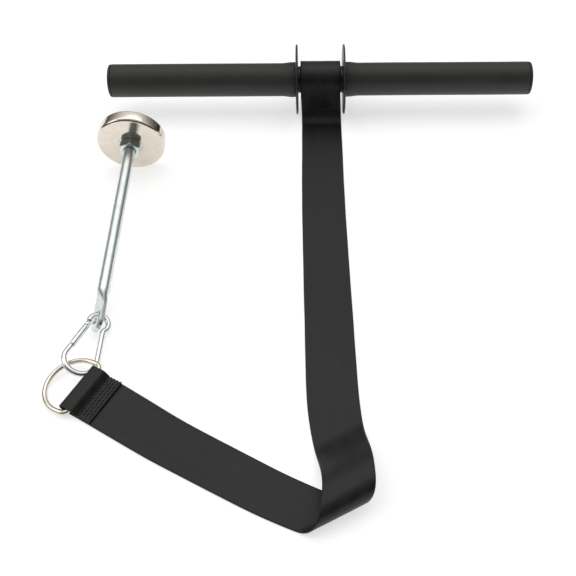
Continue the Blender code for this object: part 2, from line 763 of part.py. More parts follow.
def make_pin(frame):
    """The rod, flattened and bored at its lower end and screwed into the base."""
    flat_end = EYE_HOLE_R + EYE_REACH
    samples = [-EYE_TIP + EYE_W / 2 * (1 - cos(radians(a))) for a in range(20, 91, 14)]
    samples += [flat_end + EYE_TAPER * i / 7 for i in range(8)]
    samples.append(PIN_LENGTH + THREAD_IN)
    rings = []
    for x in samples:
        flatness = 1 - smooth(flat_end, flat_end + EYE_TAPER, x)
        half_w = ROD_R + (EYE_W / 2 - ROD_R) * flatness
        half_t = ROD_R + (EYE_T / 2 - ROD_R) * flatness ** 0.6
        tip = x + EYE_TIP
        if tip < EYE_W / 2:
            half_w = (EYE_W * tip - tip * tip) ** 0.5
        power = 1 - EYE_SQUARENESS * flatness
        ring = []
        for i in range(ROD_SIDES):
            a = 2 * pi * (i + 0.5) / ROD_SIDES
            c, s = cos(a), sin(a)
            y = half_w * abs(c) ** power * (1 if c > 0 else -1)
            z = half_t * abs(s) ** power * (1 if s > 0 else -1)
            ring.append(Vector((x, y, z)))
        rings.append(ring)
    rod = finish_mesh(loft(rings), "eye_rod", "zinc", frame)
    face, wide = EYE_T / 2, EYE_HOLE_R + EYE_CHAMFER
    profile = [(-face - EYE_CHAMFER, wide + EYE_CHAMFER), (EYE_CHAMFER - face, EYE_HOLE_R),
               (face - EYE_CHAMFER, EYE_HOLE_R), (face + EYE_CHAMFER, wide + EYE_CHAMFER)]
    hole = turned_solid(profile, sides=NUT_SIDES)
    hole.transform(Matrix.Rotation(-pi / 2, 4, "Y"))
    boolean(rod, hole, "DIFFERENCE")
    make_nut(frame)
    make_base(frame)


def make_nut(frame):
    """The lock nut, with its corners turned off on the outer face."""
    end = PIN_LENGTH + BASE_SPOT_D - GAP
    start = end - NUT_H
    bore = ROD_R + GAP
    corner = NUT_ACROSS / 2 / cos(pi / 6)
    rings = []
    for x, reach in ((start, 0.93), (start + 0.8 * MM, 1.0), (end, 1.0)):
        ring = []
        for i in range(NUT_SIDES):
            a = 2 * pi * i / NUT_SIDES
            from_flat = (a + pi / 6) % (pi / 3) - pi / 6
            hexagon = min(NUT_ACROSS / 2 / cos(from_flat), corner * reach)
            ring.append(Vector((x, hexagon * cos(a), hexagon * sin(a))))
        rings.append(ring)
    for x in (end, start):
        angles = [2 * pi * i / NUT_SIDES for i in range(NUT_SIDES)]
        rings.append([Vector((x, bore * cos(a), bore * sin(a))) for a in angles])
    finish_mesh(loft(rings, closed=True), "lock_nut", "zinc", frame, 25)


def make_base(frame):
    """The round base: rounded edge, tapped hole, and a shallow recess underneath."""
    low, high = PIN_LENGTH, PIN_LENGTH + BASE_T
    seat = low + BASE_SPOT_D
    bore = ROD_R + GAP
    floor = PIN_LENGTH + THREAD_IN + 0.6 * MM
    edge = arc(low + BASE_EDGE, BASE_R - BASE_EDGE, BASE_EDGE, 180, 90, 5)
    profile = [
        (floor, 0.4 * MM), (floor, bore), (seat + 0.8 * MM, bore), (seat, bore + 0.8 * MM),
        (seat, BASE_SEAT_R - BASE_SPOT_D), (low, BASE_SEAT_R), *edge,
        (high - 0.8 * MM, BASE_R), (high, BASE_R - 0.8 * MM),
        (high, BASE_RECESS_R + 0.6 * MM), (high - BASE_RECESS_D, BASE_RECESS_R),
        (high - BASE_RECESS_D, 0.4 * MM),
    ]
    bm = turned_solid(profile, sides=BASE_SIDES)
    finish_mesh(bm, "base_disc", "nickel", frame)


# ---------------------------------------------------------------- assembly

def main():
    clear_scene()
    bar_axis = Matrix.Translation(BAR_PLACE + Vector((0, 0, FLANGE_R)))
    strap = empty("strap_frame", Matrix.Identity(4))
    make_strap(strap)
    make_outer_turn(strap)
    make_bar(empty("bar_frame", bar_axis, strap))
    ring = empty("ring_frame", ring_matrix(), strap)
    make_ring(ring)
    hook = empty("hook_frame", hook_matrix(), ring)
    make_hook(hook)
    pivot, _ = leg_place(GATE_RIVET)
    gate = empty("gate_frame", hook.matrix_world @ Matrix.Translation(pivot), hook)
    make_gate(gate, hook)
    make_pin(empty("pin_frame", pin_matrix(), hook))


main()
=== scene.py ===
"""Wrist roller with a loading pin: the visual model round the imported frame.

The webbing with its turns on the drum and its stitching, the foam grips, the D-ring,
the snap hook and the loading pin are pieces made here. The tube, the flanges, the end
plugs, the anchor screw and the gate's spring keep their CAD meshes and get new
materials. Units are metres, +Z is up and the table is z = 0.
"""

import random
from math import asin, atan2, ceil, cos, exp, pi, radians, sin, sqrt, tanh

import bmesh
import bpy
from mathutils import Matrix, Vector, noise


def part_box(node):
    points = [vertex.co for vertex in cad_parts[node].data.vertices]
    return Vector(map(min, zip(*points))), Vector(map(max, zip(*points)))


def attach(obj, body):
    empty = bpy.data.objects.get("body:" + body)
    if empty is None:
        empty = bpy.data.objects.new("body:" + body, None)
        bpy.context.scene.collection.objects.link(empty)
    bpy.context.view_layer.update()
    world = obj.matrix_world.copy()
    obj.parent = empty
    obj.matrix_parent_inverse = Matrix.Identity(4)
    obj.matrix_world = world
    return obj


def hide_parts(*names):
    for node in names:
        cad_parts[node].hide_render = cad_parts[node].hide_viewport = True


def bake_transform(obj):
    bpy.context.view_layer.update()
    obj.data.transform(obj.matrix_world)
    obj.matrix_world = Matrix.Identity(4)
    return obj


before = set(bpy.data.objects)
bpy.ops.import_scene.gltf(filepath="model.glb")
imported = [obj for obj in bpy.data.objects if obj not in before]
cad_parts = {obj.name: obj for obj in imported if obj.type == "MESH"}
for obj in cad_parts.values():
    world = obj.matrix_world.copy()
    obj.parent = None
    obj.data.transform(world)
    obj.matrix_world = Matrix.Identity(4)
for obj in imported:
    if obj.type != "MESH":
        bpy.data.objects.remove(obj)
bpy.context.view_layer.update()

MM = 0.001

# ---------------------------------------------------------------- the webbing's shape
# These are the CAD part's own dimensions, because the laid strap is one curved strip.

BAR_PLACE = Vector((1.5 * MM, 214.4 * MM, 0.0))
FLANGE_R = 33 * MM
STRAP_W = 38 * MM
STRAP_T = 1.3 * MM
WRAP_IN_R = 12.8 * MM
WRAP_OUT_R = 15.9 * MM
TURN_R = 16.85 * MM
TURN_START = radians(328)
DROP_BEND_R = 13.4 * MM
RUN_START = TURN_R + DROP_BEND_R
LOOP_AXIS = 664 * MM
DRIFT_START = 1 * MM
DRIFT = (3.6 * MM, 100 * MM, 420 * MM)
DRIFT_END = (4.0 * MM, 575 * MM, 675 * MM)
SWELL = (8.5 * MM, 434 * MM, 34.4 * MM)
BANK = (0.08, 432 * MM, 30 * MM)
TAIL_RISE = (560 * MM, 655 * MM)
FOLD_ANGLE = radians(30.3)
FOLD_DISTANCE = 384.5 * MM
FOLD_R = 8.3 * MM
FOLD_R_CHANGE = 2.3 * MM
FOLD_R_SPAN = 41.5 * MM
FOLD_MIDDLE = -234 * MM
FOLD_RISE = (-50 * MM, -6 * MM)
LOOP_R = 3.15 * MM
LOOP_HEIGHT = 6.35 * MM
LOOP_SLOPE = 0.121
LOOP_SINK = (7.2 * MM, 13 * MM)
FLAP_LENGTH = 23 * MM
GAP = 0.3 * MM
SLOPE_STEP = 0.5 * MM
LOOP_STEP_BACK = 2 * MM
HIDDEN_TURNS = 2
BAND_PITCH = 12.6 * MM


def smooth(low, high, value):
    """0 below low, 1 above high, and an even curve between."""
    x = min(1.0, max(0.0, (value - low) / (high - low)))
    return x * x * (3 - 2 * x)


def hump(shape, u):
    """A smooth hump along the strap, from its height, place and half length."""
    height, place, half_length = shape
    return height * exp(-0.5 * ((u - place) / half_length) ** 2)


def strap_middle(u):
    """Sideways place of the strap's middle line, u along it from the bar, unfolded."""
    drift = DRIFT_START
    for amount, start, end in (DRIFT, DRIFT_END):
        drift += amount * smooth(start, end, u)
    return drift + hump(SWELL, u)


def strap_point(u, t, w):
    """A point of the laid strap: u along it, t across it and w out of its upper face."""
    slope = strap_middle(u + SLOPE_STEP) - strap_middle(u - SLOPE_STEP)
    slope /= 2 * SLOPE_STEP
    heading = Vector((slope, -1.0)).normalized()
    t *= 1 - hump(BANK, u)
    flat = Vector((strap_middle(u), -u)) + t * Vector((-heading.y, heading.x))
    normal = Vector((sin(FOLD_ANGLE), -cos(FOLD_ANGLE)))
    along = Vector((cos(FOLD_ANGLE), sin(FOLD_ANGLE)))
    place = flat.dot(along)
    roll = FOLD_R + FOLD_R_CHANGE * tanh((place - FOLD_MIDDLE) / FOLD_R_SPAN)
    past = flat.dot(normal) - FOLD_DISTANCE
    if past <= 0:
        across = FOLD_DISTANCE + past
        z = 2 * roll * smooth(*FOLD_RISE, past) + w
    elif past < pi * roll:
        across = FOLD_DISTANCE + (roll + w) * sin(past / roll)
        z = roll + (roll + w) * cos(past / roll)
    else:
        across = FOLD_DISTANCE - (past - pi * roll)
        end_height = LOOP_HEIGHT - LOOP_R - STRAP_T / 2 + LOOP_SLOPE * t
        z = smooth(*TAIL_RISE, u) * end_height - w
    xy = across * normal + place * along
    return BAR_PLACE + Vector((xy.x, xy.y, z + STRAP_T / 2))


def turn_point(s, t, w):
    """The outermost turn and the drop to the table, s back along it from the run."""
    bend = DROP_BEND_R * pi / 2
    drop = FLANGE_R - DROP_BEND_R - STRAP_T / 2
    if s < bend:
        a = s / DROP_BEND_R
        y = -RUN_START + (DROP_BEND_R - w) * sin(a)
        z = STRAP_T / 2 + DROP_BEND_R - (DROP_BEND_R - w) * cos(a)
    elif s < bend + drop:
        y = -TURN_R - w
        z = STRAP_T / 2 + DROP_BEND_R + (s - bend)
    else:
        a = (s - bend - drop) / TURN_R
        y = -(TURN_R + w) * cos(a)
        z = FLANGE_R + (TURN_R + w) * sin(a)
    side = strap_middle(RUN_START) * (1 - smooth(0, bend + drop, s))
    return BAR_PLACE + Vector((side + t, y, z))


def loop_frame():
    """The D-ring's bar: its middle, the strap's way, the bar's way and up."""
    low = strap_point(LOOP_AXIS, -STRAP_W / 2, 0)
    high = strap_point(LOOP_AXIS, STRAP_W / 2, 0)
    bar = (high - low).normalized()
    back = strap_point(LOOP_AXIS - LOOP_STEP_BACK, 0, 0)
    way = strap_point(LOOP_AXIS, 0, 0) - back
    way = (way - bar * way.dot(bar)).normalized()
    up = way.cross(bar)
    if up.z < 0:
        up = -up
    return (low + high) / 2 + LOOP_R * up, way, bar, up


LOOP = loop_frame()


def loop_point(s, t, w):
    """The loop round the ring's bar and the flap, s along it from the bar's axis."""
    middle, way, bar, up = LOOP
    turn = pi * LOOP_R
    if s < turn:
        a = s / LOOP_R
        return middle + t * bar + (LOOP_R - w) * (sin(a) * way - cos(a) * up)
    back = s - turn
    sink = (2 * LOOP_R - STRAP_T - GAP) * smooth(*LOOP_SINK, back)
    return middle + t * bar - back * way + (LOOP_R - w - sink) * up


DROP_LENGTH = DROP_BEND_R * pi / 2 + FLANGE_R - DROP_BEND_R - STRAP_T / 2
TURN_LENGTH = DROP_LENGTH + TURN_R * TURN_START
STRAP_VISIBLE = TURN_LENGTH + (LOOP_AXIS - RUN_START) + pi * LOOP_R + FLAP_LENGTH


def along_strap(s, t, w):
    """A point of the whole visible strap, s from the hidden turns to the flap's end."""
    if s < TURN_LENGTH:
        return turn_point(TURN_LENGTH - s, t, w)
    u = RUN_START + s - TURN_LENGTH
    if u < LOOP_AXIS:
        return strap_point(u, t, w)
    return loop_point(u - LOOP_AXIS, t, -w)


# ---------------------------------------------------------------- mesh helpers

THREAD_END = 0.45     # the share of its radius that a drawn-in thread keeps at its ends


def from_bmesh(bm, name, materials, smooth_angle=40):
    """A shaded object in the scene, its faces turned outwards."""
    bm.normal_update()
    bmesh.ops.recalc_face_normals(bm, faces=bm.faces)
    mesh = bpy.data.meshes.new(name)
    bm.to_mesh(mesh)
    bm.free()
    mesh.shade_smooth()
    mesh.set_sharp_from_angle(angle=radians(smooth_angle))
    for mat in materials:
        mesh.materials.append(mat)
    obj = bpy.data.objects.new(name, mesh)
    bpy.context.collection.objects.link(obj)
    return obj


def skin(rings, wrap=False, uvs=None):
    """A bmesh through closed rings of points, its ends capped or, if wrap, joined."""
    bm = bmesh.new()
    layer = bm.loops.layers.uv.new("UVMap") if uvs else None
    loops = [[bm.verts.new(p) for p in ring] for ring in rings]
    count = len(loops[0])
    spans = list(range(len(loops) - 1)) + ([-1] if wrap else [])
    for k in spans:
        for i in range(count):
            j = (i + 1) % count
            corners = (loops[k][i], loops[k][j], loops[k + 1][j], loops[k + 1][i])
            face = bm.faces.new(corners)
            if layer:
                places = ((k, i), (k, i + 1), (k + 1, i + 1), (k + 1, i))
                for corner, (a, b) in zip(face.loops, places):
                    corner[layer].uv = uvs(a, b)
    if not wrap:
        bm.faces.new(loops[0][::-1])
        bm.faces.new(loops[-1])
    return bm


def circle(sides):
    """The angles of a whole turn."""
    return [2 * pi * i / sides for i in range(sides)]


def quarter(steps, first=0):
    """The angles of a quarter turn, from step first to the end."""
    return [pi / 2 * i / steps for i in range(first, steps + 1)]


def wire_rings(points, radius, sides, closed=False, tapered=False):
    """Rings of a round wire along points, turned as little as possible on the way."""
    last = len(points) - 1
    side = None
    rings = []
    for i, point in enumerate(points):
        before = points[i - 1] if (i or closed) else points[0]
        after = points[(i + 1) % len(points)] if (i < last or closed) else points[-1]
        tangent = (after - before).normalized()
        if side is None:
            side = tangent.orthogonal().normalized()
        side = (side - tangent * side.dot(tangent)).normalized()
        up = tangent.cross(side)
        r = radius * (THREAD_END if tapered and i in (0, last) else 1.0)
        rings.append([point + r * (cos(a) * side + sin(a) * up) for a in circle(sides)])
    return rings


def turned(profile, sides, wobble=None):
    """Rings of a profile of (x, radius) points turned about the X axis."""
    rings = []
    for x, r in profile:
        ring = []
        for a in circle(sides):
            reach = r + (wobble(x, a) if wobble else 0.0)
            ring.append(Vector((x, reach * cos(a), reach * sin(a))))
        rings.append(ring)
    return rings


# ---------------------------------------------------------------- materials

RIB_PITCH = 1.15 * MM      # the weave's ribs across the webbing
PICK_PITCH = 0.95 * MM     # and its picks along it
WHITE = (1.0, 1.0, 1.0)


def fill_ramp(node, stops):
    """Give a colour ramp its stops, each a place and a colour or one value for all three."""
    elements = node.color_ramp.elements
    while len(elements) < len(stops):
        elements.new(0.5)
    for element, (place, value) in zip(elements, stops):
        element.position = place
        element.color = (*(value if isinstance(value, tuple) else (value,) * 3), 1.0)


class Nodes:
    """A material's node tree with its Principled shader, and short ways to add to it."""

    def __init__(self, name, colour, metallic, roughness, **more):
        self.mat = bpy.data.materials.new(name)
        self.mat.use_nodes = True
        self.tree = self.mat.node_tree
        self.shader = self.tree.nodes["Principled BSDF"]
        self.shader.inputs["Base Color"].default_value = (*colour, 1.0)
        self.shader.inputs["Metallic"].default_value = metallic
        self.shader.inputs["Roughness"].default_value = roughness
        for key, value in more.items():
            self.shader.inputs[key.replace("_", " ")].default_value = value

    def add(self, kind, links=None, **values):
        node = self.tree.nodes.new("ShaderNode" + kind)
        for key, value in values.items():
            if hasattr(node, key):
                setattr(node, key, value)
            else:
                node.inputs[key.replace("_", " ")].default_value = value
        for key, source in (links or {}).items():
            self.tree.links.new(source, node.inputs[key])
        return node

    def math(self, operation, a, b=0.0):
        node = self.tree.nodes.new("ShaderNodeMath")
        node.operation = operation
        for socket, value in zip(node.inputs, (a, b)):
            if isinstance(value, (int, float)):
                socket.default_value = value
            else:
                self.tree.links.new(value, socket)
        return node.outputs[0]

    def scaled(self, value, factor):
        return self.math("MULTIPLY", value, factor)

    def total(self, a, b):
        return self.math("ADD", a, b)

    def ramp(self, source, stops):
        node = self.tree.nodes.new("ShaderNodeValToRGB")
        self.tree.links.new(source, node.inputs["Fac"])
        fill_ramp(node, stops)
        return node.outputs["Color"]

    def noise(self, scale, detail=3.0, roughness=0.5, stretch=None):
        node = self.tree.nodes.new("ShaderNodeTexNoise")
        node.inputs["Scale"].default_value = scale
        node.inputs["Detail"].default_value = detail
        node.inputs["Roughness"].default_value = roughness
        self.tree.links.new(self.place(stretch), node.inputs["Vector"])
        return node.outputs["Fac"]

    def place(self, stretch=None):
        source = self.tree.nodes.new("ShaderNodeTexCoord").outputs["Object"]
        if stretch is None:
            return source
        mapping = self.tree.nodes.new("ShaderNodeMapping")
        mapping.inputs["Scale"].default_value = stretch
        self.tree.links.new(source, mapping.inputs["Vector"])
        return mapping.outputs["Vector"]

    def set(self, socket, source):
        self.tree.links.new(source, self.shader.inputs[socket])

    def bump(self, height, distance, strength=1.0, before=None):
        node = self.tree.nodes.new("ShaderNodeBump")
        node.inputs["Strength"].default_value = strength
        node.inputs["Distance"].default_value = distance
        self.tree.links.new(height, node.inputs["Height"])
        if before is not None:
            self.tree.links.new(before, node.inputs["Normal"])
        return node.outputs["Normal"]


def webbing_material():
    """Seat-belt webbing: a fine slanting weave in lengthwise bands, from UVs in metres."""
    n = Nodes("webbing", (0.011, 0.0107, 0.0102), 0.0, 0.45,
              Sheen_Weight=0.06, Sheen_Roughness=0.4, Specular_IOR_Level=0.34)
    n.shader.inputs["Sheen Tint"].default_value = (0.9, 0.88, 0.84, 1.0)
    uv = n.tree.nodes.new("ShaderNodeUVMap")
    uv.uv_map = "UVMap"
    split = n.add("SeparateXYZ", {"Vector": uv.outputs["UV"]})
    across, length = split.outputs["X"], split.outputs["Y"]
    rib = n.math("SINE", n.scaled(across, 2 * pi / RIB_PITCH))
    slant = n.total(n.scaled(length, 2 * pi / PICK_PITCH), n.scaled(rib, 1.6))
    pick = n.math("SINE", slant)
    weave = n.total(n.scaled(rib, 0.6), n.scaled(pick, 0.5))
    fuzz = n.noise(900.0, 4.0, 0.6)
    height = n.total(weave, n.scaled(fuzz, 0.9))
    n.set("Normal", n.bump(height, 0.07 * MM, 0.5))
    bands = n.math("SINE", n.scaled(across, 2 * pi / BAND_PITCH))
    broad = n.noise(11.0, 2.0, 0.5)
    tone = n.total(n.scaled(bands, 0.10), n.scaled(broad, 0.55))
    tone = n.total(tone, n.scaled(weave, 0.06))
    dark, pale = (0.0052, 0.0050, 0.0048), (0.0125, 0.0120, 0.0112)
    n.set("Base Color", n.ramp(tone, ((0.05, dark), (0.55, pale))))
    rough = n.total(n.scaled(bands, 0.12), broad)
    n.set("Roughness", n.ramp(rough, ((0.25, 0.38), (0.75, 0.50))))
    return n.mat


def thread_material():
    """Sewing thread: fine fibres with a slight sheen."""
    n = Nodes("thread", (0.013, 0.0125, 0.0135), 0.0, 0.55, Sheen_Weight=0.2)
    ply = n.noise(2600.0, 2.0, 0.5, stretch=(1.0, 1.0, 1.0))
    n.set("Normal", n.bump(ply, 0.05 * MM, 0.8))
    dark, pale = (0.006, 0.006, 0.007), (0.020, 0.019, 0.021)
    n.set("Base Color", n.ramp(ply, ((0.3, dark), (0.75, pale))))
    return n.mat


def foam_material():
    """Closed-cell foam: a fine pebbled skin with faint rings from its extrusion."""
    n = Nodes("foam", (0.028, 0.027, 0.026), 0.0, 0.55,
              Sheen_Weight=0.12, Sheen_Roughness=0.5, Specular_IOR_Level=0.4)
    cells = n.add("TexVoronoi", {"Vector": n.place()}, Scale=1500.0).outputs["Distance"]
    soft = n.noise(420.0, 5.0, 0.65)
    rings = n.noise(60.0, 3.0, 0.5, stretch=(6.0, 0.35, 0.35))
    height = n.total(n.scaled(cells, 0.5), soft)
    first = n.bump(rings, 0.25 * MM, 0.35)
    n.set("Normal", n.bump(height, 0.12 * MM, 0.6, before=first))
    mottle = n.total(n.scaled(n.noise(38.0, 4.0, 0.6), 0.6), n.scaled(soft, 0.4))
    dark, pale = (0.019, 0.0185, 0.0175), (0.032, 0.0308, 0.029)
    n.set("Base Color", n.ramp(mottle, ((0.3, dark), (0.7, pale))))
    n.set("Roughness", n.ramp(mottle, ((0.3, 0.46), (0.7, 0.60))))
    return n.mat


def painted_steel_material():
    """Powder-coated steel: orange-peel skin with slightly worn, brighter patches."""
    n = Nodes("black_steel", (0.03, 0.03, 0.03), 0.15, 0.42, Coat_Weight=0.12)
    peel = n.noise(700.0, 3.0, 0.5)
    wear = n.noise(55.0, 5.0, 0.6)
    n.set("Normal", n.bump(peel, 0.06 * MM, 0.55))
    dark, pale = (0.014, 0.014, 0.0145), (0.032, 0.031, 0.030)
    n.set("Base Color", n.ramp(wear, ((0.35, dark), (0.75, pale))))
    n.set("Roughness", n.ramp(wear, ((0.3, 0.34), (0.7, 0.5))))
    return n.mat


def cap_material():
    """Moulded plastic with a fine spark-eroded grain."""
    n = Nodes("end_plug", (0.03, 0.03, 0.03), 0.0, 0.5)
    grain = n.noise(1300.0, 3.0, 0.6)
    n.set("Normal", n.bump(grain, 0.05 * MM, 0.6))
    dark, pale = (0.015, 0.0147, 0.0143), (0.024, 0.0233, 0.0225)
    n.set("Base Color", n.ramp(n.noise(90.0), ((0.3, dark), (0.7, pale))))
    n.set("Roughness", n.ramp(grain, ((0.3, 0.42), (0.7, 0.56))))
    return n.mat


def plated_material(name, dark, pale, rough, drawn, scale, depth):
    """Plated steel: faint drawing lines, cloudy passivation and small handling marks.

    rough is the roughness of its pale and of its dark places, drawn stretches the lines.
    """
    n = Nodes(name, pale, 1.0, rough[0])
    lines = n.noise(scale, 4.0, 0.6, stretch=drawn)
    cloud = n.noise(70.0, 4.0, 0.55)
    marks = n.noise(1100.0, 4.0, 0.7)
    mix = n.total(n.scaled(cloud, 0.65), n.scaled(lines, 0.35))
    n.set("Base Color", n.ramp(mix, ((0.3, dark), (0.68, pale))))
    n.set("Roughness", n.ramp(mix, ((0.3, rough[1]), (0.7, rough[0]))))
    first = n.bump(lines, depth, 0.5)
    n.set("Normal", n.bump(marks, depth * 0.6, 0.35, before=first))
    return n.mat


def floor_material():
    """Pale seamless paper that glows a little, so that it stays near white."""
    n = Nodes("studio_floor", (0.62, 0.62, 0.62), 0.0, 0.7,
              Specular_IOR_Level=0.1, Emission_Strength=0.62)
    n.shader.inputs["Emission Color"].default_value = (*WHITE, 1.0)
    return n.mat


WEBBING = webbing_material()
THREAD = thread_material()
FOAM = foam_material()
BLACK_STEEL = painted_steel_material()
CAP = cap_material()
ZINC = plated_material(
    "zinc_rod", dark=(0.56, 0.61, 0.60), pale=(0.78, 0.83, 0.81), rough=(0.24, 0.34),
    drawn=(1.0, 0.08, 1.0), scale=500.0, depth=0.03 * MM)
HOOK_ZINC = plated_material(
    "zinc_hook", dark=(0.66, 0.67, 0.67), pale=(0.86, 0.865, 0.86), rough=(0.14, 0.22),
    drawn=(1.0, 1.0, 1.0), scale=260.0, depth=0.015 * MM)
NICKEL = plated_material(
    "nickel", dark=(0.66, 0.60, 0.52), pale=(0.79, 0.725, 0.64), rough=(0.09, 0.16),
    drawn=(1.0, 1.0, 1.0), scale=200.0, depth=0.012 * MM)

CAD_MATERIALS = {
    "core_tube": BLACK_STEEL,
    "left_flange": BLACK_STEEL,
    "right_flange": BLACK_STEEL,
    "left_end_plug": CAP,
    "right_end_plug": CAP,
    "strap_anchor_screw": ZINC,
    "gate_spring": ZINC,
}


def dress_cad_nodes():
    """Give the nodes that keep their CAD meshes their looks."""
    for name, mat in CAD_MATERIALS.items():
        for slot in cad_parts[name].material_slots:
            slot.link = "OBJECT"
            slot.material = mat


# ---------------------------------------------------------------- the strap

SECTION_COLUMNS = 38
EDGE_ROUND = 0.55 * MM
EDGE_STEPS = 4
RIB_DEPTH = 0.05 * MM
SELVEDGE = (3.4 * MM, 2.6 * MM)     # plain, without bands, from here out to the edge
CORNER_SPAN = (310 * MM, 480 * MM)
SINK_SPAN = 25 * MM
TURN_STEP, RUN_STEP, CORNER_STEP, TAIL_STEP = 1.3 * MM, 4.0 * MM, 1.5 * MM, 3.0 * MM
SINK_STEP, LOOP_STEP, FLAP_STEP = 1.0 * MM, 0.55 * MM, 0.5 * MM
ROW_PLACES = (12.6 * MM, 15.2 * MM, 17.8 * MM, 20.6 * MM)     # back from the loop's end
ROW_SPREAD = 0.45 * MM
PUCKER_EDGE = 3 * MM
PUCKER_IN = 0.032
PUCKER_DOWN = 0.22 * MM
WANDER = 0.16 * MM
WANDER_START = 60 * MM
WANDER_WAVES = (30.0, 6.0)          # along and across the strap, per metre


def strap_section():
    """Points (t, w) round the webbing's section: rounded selvedges and shallow bands."""
    half_w, half_t = STRAP_W / 2, STRAP_T / 2
    upper = []
    for i in range(SECTION_COLUMNS + 1):
        t = -half_w + EDGE_ROUND + (2 * half_w - 2 * EDGE_ROUND) * i / SECTION_COLUMNS
        band = 0.5 + 0.5 * cos(2 * pi * t / BAND_PITCH)
        near_edge = smooth(half_w - SELVEDGE[0], half_w - SELVEDGE[1], abs(t))
        upper.append((t, half_t - RIB_DEPTH * band * (1 - near_edge)))
    side = []
    for k in range(1, EDGE_STEPS):
        a = pi / 2 - pi * k / EDGE_STEPS
        side.append((half_w - EDGE_ROUND + EDGE_ROUND * cos(a), half_t * sin(a)))
    left = [(-t, w) for t, w in reversed(side)]
    lower = [(t, -w) for t, w in reversed(upper)]
    return upper + side + lower + left


def strap_stations():
    """Places along the strap, close together where it bends."""
    corner, corner_end = (TURN_LENGTH + place for place in CORNER_SPAN)
    loop = TURN_LENGTH + LOOP_AXIS - RUN_START
    loop_end = loop + pi * LOOP_R
    spans = (
        (0.0, TURN_LENGTH, TURN_STEP),
        (TURN_LENGTH, corner, RUN_STEP),
        (corner, corner_end, CORNER_STEP),
        (corner_end, loop - SINK_SPAN, TAIL_STEP),
        (loop - SINK_SPAN, loop, SINK_STEP),
        (loop, loop_end, LOOP_STEP),
        (loop_end, loop_end + FLAP_LENGTH, FLAP_STEP),
    )
    places = []
    for start, end, step in spans:
        count = max(1, ceil((end - start) / step))
        places += [start + (end - start) * i / count for i in range(count)]
    places.append(spans[-1][1])
    return places


def puckered(s, t, w):
    """The strap with its edge drawn in by the stitches and with slight unevenness."""
    into_flap = s - (STRAP_VISIBLE - FLAP_LENGTH)
    half_w = STRAP_W / 2
    if into_flap > 0:
        sewn = 0.0
        for row in ROW_PLACES:
            sewn += exp(-0.5 * ((into_flap - row) / ROW_SPREAD) ** 2)
        edge = smooth(half_w - PUCKER_EDGE, half_w, abs(t))
        t *= 1 - PUCKER_IN * sewn * edge
        if w > 0:
            w -= PUCKER_DOWN * sewn * (1 - 0.5 * edge)
    place = Vector((s * WANDER_WAVES[0], t * WANDER_WAVES[1], 0.3))
    wander = WANDER * noise.noise(place)
    t += wander * smooth(0.0, WANDER_START, s)
    return along_strap(s, t, w)


def make_strap():
    """The whole visible webbing in one piece, from the drum to the flap's end."""
    section = strap_section()
    places = strap_stations()
    rings = [[puckered(s, t, w) for t, w in section] for s in places]
    distance = [0.0]
    for (t0, w0), (t1, w1) in zip(section, section[1:] + section[:1]):
        distance.append(distance[-1] + sqrt((t1 - t0) ** 2 + (w1 - w0) ** 2))
    bm = skin(rings, uvs=lambda k, i: (distance[i], places[k]))
    strap = from_bmesh(bm, "strap_webbing", [WEBBING], 60)
    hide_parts("strap_outer_turn", "strap_run", "strap_corner", "strap_tail",
                "strap_end_loop")
    return strap


TURNS_GAP = radians(26)       # half the angle left open where the strap comes down
TURNS_STEPS = 72
TURNS_COLUMNS = 12
TURNS_EDGE = 0.3 * MM
TURNS_NOTCH = 0.35 * MM       # how deep the side groove between two turns is


def make_turns():
    """The hidden turns, wound tight on the tube, their edges showing as grooves."""
    sweep = 2 * pi - 2 * TURNS_GAP
    half_w = STRAP_W / 2
    thick = (WRAP_OUT_R - WRAP_IN_R) / HIDDEN_TURNS
    width = 2 * half_w - 2 * TURNS_EDGE
    across = [-half_w + TURNS_EDGE + width * k / TURNS_COLUMNS
              for k in range(TURNS_COLUMNS + 1)]
    side = []
    for turn in range(HIDDEN_TURNS):
        top = WRAP_OUT_R - turn * thick
        side += [(half_w, top - 0.25 * thick), (half_w, top - 0.75 * thick),
                 (half_w - TURNS_NOTCH, top - thick)]
    outline = [(t, WRAP_OUT_R) for t in across] + side
    outline += [(t, WRAP_IN_R) for t in reversed(across[1:-1])]
    outline.append((-half_w + TURNS_NOTCH, WRAP_IN_R))
    outline += [(-t, r) for t, r in reversed(side[:-1])]
    centre = BAR_PLACE + Vector((0, 0, FLANGE_R))
    rings = []
    for i in range(TURNS_STEPS + 1):
        a = -pi / 2 + TURNS_GAP + sweep * i / TURNS_STEPS
        out = Vector((0, cos(a), sin(a)))
        rings.append([centre + r * out + Vector((t, 0, 0)) for t, r in outline])

    def uvs(k, i):
        return outline[i % len(outline)][0] + half_w, k * sweep * WRAP_OUT_R / TURNS_STEPS

    turns = from_bmesh(skin(rings, uvs=uvs), "strap_wound_turns", [WEBBING], 50)
    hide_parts("strap_inner_turns")
    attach(turns, "bar")
    return turns


# ---------------------------------------------------------------- stitching

THREAD_R = 0.44 * MM
THREAD_SINK = 0.20 * MM       # how far a stitch's ends lie in the webbing
THREAD_LIFT = 0.30 * MM
STITCH_MARGIN = 1.6 * MM
STITCH_PITCH = 3.1 * MM
STITCH_SHARE = 0.74
STITCH_OVERRUN = 0.4 * MM
STITCH_STEPS = 6


